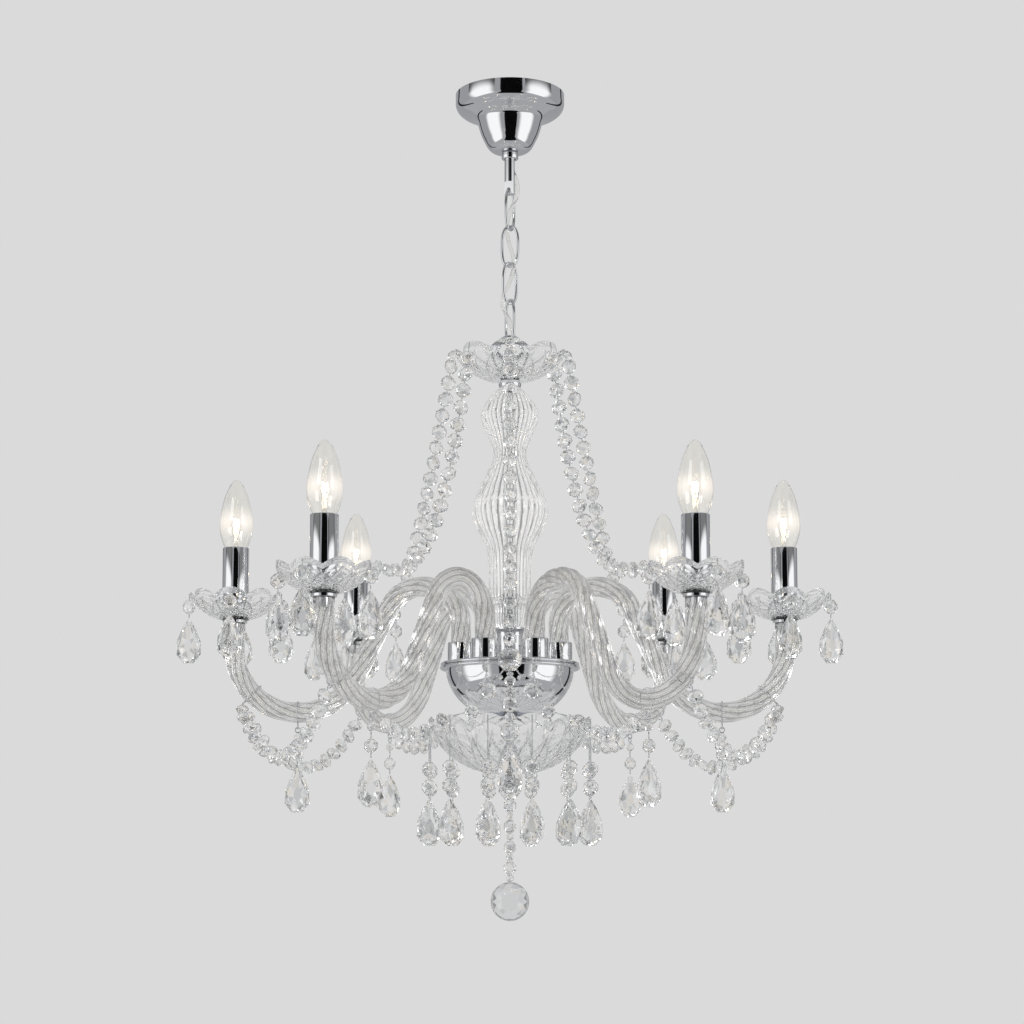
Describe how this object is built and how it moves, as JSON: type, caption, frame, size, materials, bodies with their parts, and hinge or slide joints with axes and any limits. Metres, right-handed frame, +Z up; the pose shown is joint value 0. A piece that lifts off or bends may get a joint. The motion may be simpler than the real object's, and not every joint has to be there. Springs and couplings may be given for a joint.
{
  "type": "crystal chandelier",
  "caption": "Crystal chandelier on a chain from a ceiling rose: twisted glass arms on a chrome hub carry candle lamps in glass drip dishes, hung with bead strands and faceted drops.",
  "frame": {"origin": "middle between the two ceiling slots, on the ceiling plane", "axes": "+Z up, towards the ceiling; the picture looks along +Y; +X to its right"},
  "size_m": [0.6758, 0.5524, 0.8687],
  "materials": {
    "chrome": "polished",
    "clear_glass": "clear, moulded and cut",
    "crystal": "clear, facet cut",
    "bulb_glass": "clear, lit warm white",
    "steel": "zinc plated",
    "brass": "turned",
    "white_plastic": "moulded",
    "cable_sheath": "clear sheath"
  },
  "bodies": {
    "ceiling_fixing": {"ceiling_bracket": "steel", "bracket_nuts": "brass", "terminal_block": "white_plastic", "stem": "chrome", "supply_cable": "cable_sheath"},
    "rose": {"rose_canopy": "chrome"},
    "rose_nut": {"rose_collar_nut": "chrome"},
    "link_1": {"chain_link_1": "chrome"},
    "link_2": {"chain_link_2": "chrome"},
    "link_3": {"chain_link_3": "chrome"},
    "link_4": {"chain_link_4": "chrome"},
    "bulb_body_1": {"bulb_1": "bulb_glass"},
    "bulb_body_2": {"bulb_2": "bulb_glass"},
    "bulb_body_3": {"bulb_3": "bulb_glass"},
    "bulb_body_4": {"bulb_4": "bulb_glass"},
    "bulb_body_5": {"bulb_5": "bulb_glass"},
    "bulb_body_6": {"bulb_6": "bulb_glass"},
    "drop_body_1": {"arm_drop_1": "crystal"},
    "drop_body_2": {"arm_drop_2": "crystal"},
    "drop_body_3": {"arm_drop_3": "crystal"},
    "drop_body_4": {"arm_drop_4": "crystal"},
    "drop_body_5": {"arm_drop_5": "crystal"},
    "drop_body_6": {"arm_drop_6": "crystal"},
    "ball_body": {"ball_drop": "crystal"},
    "chandelier_frame": {"hanger_loop": "chrome", "top_collar": "chrome", "lower_collar": "chrome", "hub_plate": "chrome", "arm_cups": "chrome", "hub_bowl": "chrome", "bowl_spacer": "chrome", "bottom_finial": "chrome", "arm_hoops": "chrome", "candle_nipples": "chrome", "candle_sleeves": "chrome", "column": "clear_glass", "column_base": "clear_glass", "top_dish": "clear_glass", "bottom_dish": "clear_glass", "arm_1": "clear_glass", "arm_2": "clear_glass", "arm_3": "clear_glass", "arm_4": "clear_glass", "arm_5": "clear_glass", "arm_6": "clear_glass", "bobeche_1": "clear_glass", "bobeche_2": "clear_glass", "bobeche_3": "clear_glass", "bobeche_4": "clear_glass", "bobeche_5": "clear_glass", "bobeche_6": "clear_glass", "dish_strands": "crystal", "column_strands": "crystal", "hub_trim": "crystal", "arm_swags": "crystal", "bobeche_drops": "crystal", "dish_drops": "crystal", "centre_rod": "steel", "lampholders": "white_plastic", "arm_wires": "cable_sheath"}
  },
  "joints": [
    {"name": "rose_slide", "type": "slide", "parent": "ceiling_fixing", "child": "rose", "axis": [0, 0, -1], "range_m": [0, 0.011]},
    {"name": "rose_nut_spin", "type": "hinge", "parent": "rose", "child": "rose_nut", "pos_m": [0, 0, -0.0655], "axis": [0, 0, 1], "continuous": true},
    {"name": "chain_swing_1", "type": "hinge", "parent": "ceiling_fixing", "child": "link_1", "pos_m": [0, 0, -0.1025], "axis": [0.4695, 0.8829, 0], "range_deg": [-20, 20], "deforming": ["supply_cable"]},
    {"name": "chain_swing_2", "type": "hinge", "parent": "link_1", "child": "link_2", "pos_m": [0, 0, -0.1455], "axis": [0.4695, 0.8829, 0], "range_deg": [-20, 20], "deforming": ["supply_cable"]},
    {"name": "chain_swing_3", "type": "hinge", "parent": "link_2", "child": "link_3", "pos_m": [0, 0, -0.1852], "axis": [0.9397, -0.342, 0], "range_deg": [-20, 20], "deforming": ["supply_cable"]},
    {"name": "chain_swing_4", "type": "hinge", "parent": "link_3", "child": "link_4", "pos_m": [0, 0, -0.2249], "axis": [0.766, 0.6428, 0], "range_deg": [-20, 20], "deforming": ["supply_cable"]},
    {"name": "chain_swing_5", "type": "hinge", "parent": "link_4", "child": "chandelier_frame", "pos_m": [0, 0, -0.2646], "axis": [0.4695, -0.8829, 0], "range_deg": [-20, 20], "deforming": ["supply_cable"]},
    {"name": "bulb_out_1", "type": "slide", "parent": "chandelier_frame", "child": "bulb_body_1", "axis": [0, 0, 1], "range_m": [0, 0.028]},
    {"name": "bulb_out_2", "type": "slide", "parent": "chandelier_frame", "child": "bulb_body_2", "axis": [0, 0, 1], "range_m": [0, 0.028]},
    {"name": "bulb_out_3", "type": "slide", "parent": "chandelier_frame", "child": "bulb_body_3", "axis": [0, 0, 1], "range_m": [0, 0.028]},
    {"name": "bulb_out_4", "type": "slide", "parent": "chandelier_frame", "child": "bulb_body_4", "axis": [0, 0, 1], "range_m": [0, 0.028]},
    {"name": "bulb_out_5", "type": "slide", "parent": "chandelier_frame", "child": "bulb_body_5", "axis": [0, 0, 1], "range_m": [0, 0.028]},
    {"name": "bulb_out_6", "type": "slide", "parent": "chandelier_frame", "child": "bulb_body_6", "axis": [0, 0, 1], "range_m": [0, 0.028]},
    {"name": "drop_swing_1", "type": "hinge", "parent": "chandelier_frame", "child": "drop_body_1", "pos_m": [0.2186, 0, -0.67265], "axis": [0, 1, 0], "range_deg": [-12, 12]},
    {"name": "drop_swing_2", "type": "hinge", "parent": "chandelier_frame", "child": "drop_body_2", "pos_m": [0.13264, 0.17306, -0.67265], "axis": [-0.7694, 0.6388, 0], "range_deg": [-12, 12]},
    {"name": "drop_swing_3", "type": "hinge", "parent": "chandelier_frame", "child": "drop_body_3", "pos_m": [-0.13264, 0.17306, -0.67265], "axis": [-0.7694, -0.6388, 0], "range_deg": [-12, 12]},
    {"name": "drop_swing_4", "type": "hinge", "parent": "chandelier_frame", "child": "drop_body_4", "pos_m": [-0.2186, 0, -0.67265], "axis": [0, -1, 0], "range_deg": [-12, 12]},
    {"name": "drop_swing_5", "type": "hinge", "parent": "chandelier_frame", "child": "drop_body_5", "pos_m": [-0.13264, -0.17306, -0.67265], "axis": [0.7694, -0.6388, 0], "range_deg": [-12, 12]},
    {"name": "drop_swing_6", "type": "hinge", "parent": "chandelier_frame", "child": "drop_body_6", "pos_m": [0.13264, -0.17306, -0.67265], "axis": [0.7694, 0.6388, 0], "range_deg": [-12, 12]},
    {"name": "ball_swing", "type": "hinge", "parent": "chandelier_frame", "child": "ball_body", "pos_m": [0, 0, -0.7325], "axis": [1, 0, 0], "range_deg": [-20, 20]}
  ]
}
